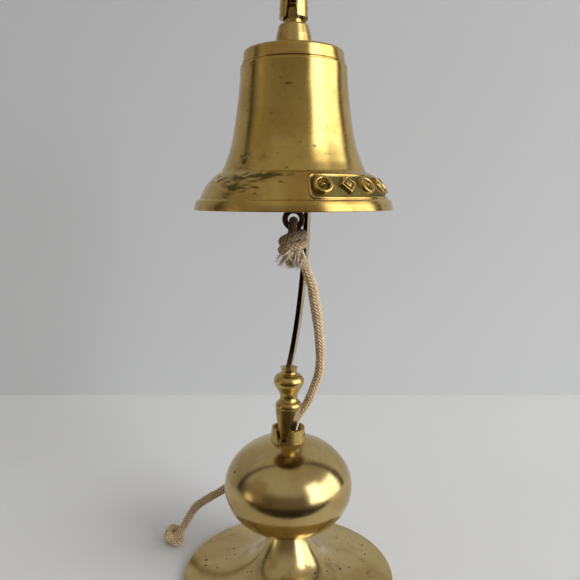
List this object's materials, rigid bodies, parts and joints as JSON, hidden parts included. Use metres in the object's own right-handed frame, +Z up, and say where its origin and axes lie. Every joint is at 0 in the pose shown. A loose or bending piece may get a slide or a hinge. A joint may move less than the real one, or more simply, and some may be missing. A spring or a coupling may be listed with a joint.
{
  "type": "table bell",
  "caption": "Brass table bell hung from a bowed flat arm on a ball and trumpet foot, with a clapper on a ring link and a knotted cotton lanyard.",
  "frame": {"origin": "centre of the felt pad's underside, on the table", "axes": "+Z up along the stand, +Y back towards the arm's bow, X along the upper cross pin"},
  "size_m": [0.1372, 0.1448, 0.3301],
  "materials": {
    "bell_brass": "satin turned",
    "ball_brass": "polished",
    "foot_brass": "polished, specked",
    "arm_brass": "satin",
    "turned_brass": "polished, tarnished in the grooves",
    "steel": "zinc plated",
    "dark_iron": "dark forged",
    "felt": "green felt",
    "cotton": "braided cotton"
  },
  "bodies": {
    "root": {"foot": "foot_brass", "felt_pad": "felt", "tie_rod": "steel", "tie_rod_washer": "steel", "tie_rod_nut": "steel", "ball": "ball_brass", "socket_collar": "turned_brass", "arm_pivot_pin": "turned_brass", "lanyard": "cotton", "cord_end_knot": "cotton"},
    "arm": {"lower_finial": "turned_brass", "arm_plate": "arm_brass", "upper_finial": "turned_brass", "bell_pivot_pin": "turned_brass"},
    "bell": {"hanger_bolt": "turned_brass", "bell_cap": "turned_brass", "bell": "bell_brass", "crown_washer": "turned_brass", "crown_nut": "steel", "clapper_eye": "dark_iron"},
    "link": {"clapper_link": "dark_iron"},
    "clapper": {"clapper_rod": "dark_iron", "clapper_ball": "turned_brass", "cord_hitch": "cotton", "cord_tuft": "cotton"}
  },
  "joints": [
    {"name": "arm_tilt", "type": "hinge", "parent": "root", "child": "arm", "pos_m": [0, 0, 0.0846], "axis": [0.9724, -0.2334, 0], "range_deg": [-2, 6], "deforming": ["lanyard"]},
    {"name": "bell_swing", "type": "hinge", "parent": "arm", "child": "bell", "pos_m": [0.00178, 0.00742, 0.303], "axis": [1, -0.0001, -0.0081], "range_deg": [-15, 4.5]},
    {"name": "link_swing", "type": "hinge", "parent": "bell", "child": "link", "pos_m": [0.00178, 0.00742, 0.2643], "axis": [0, 1, 0], "range_deg": [-12, 12]},
    {"name": "clapper_swing", "type": "hinge", "parent": "link", "child": "clapper", "pos_m": [0.00178, 0.00742, 0.25795], "axis": [1, 0, 0], "range_deg": [-30, 30]}
  ]
}
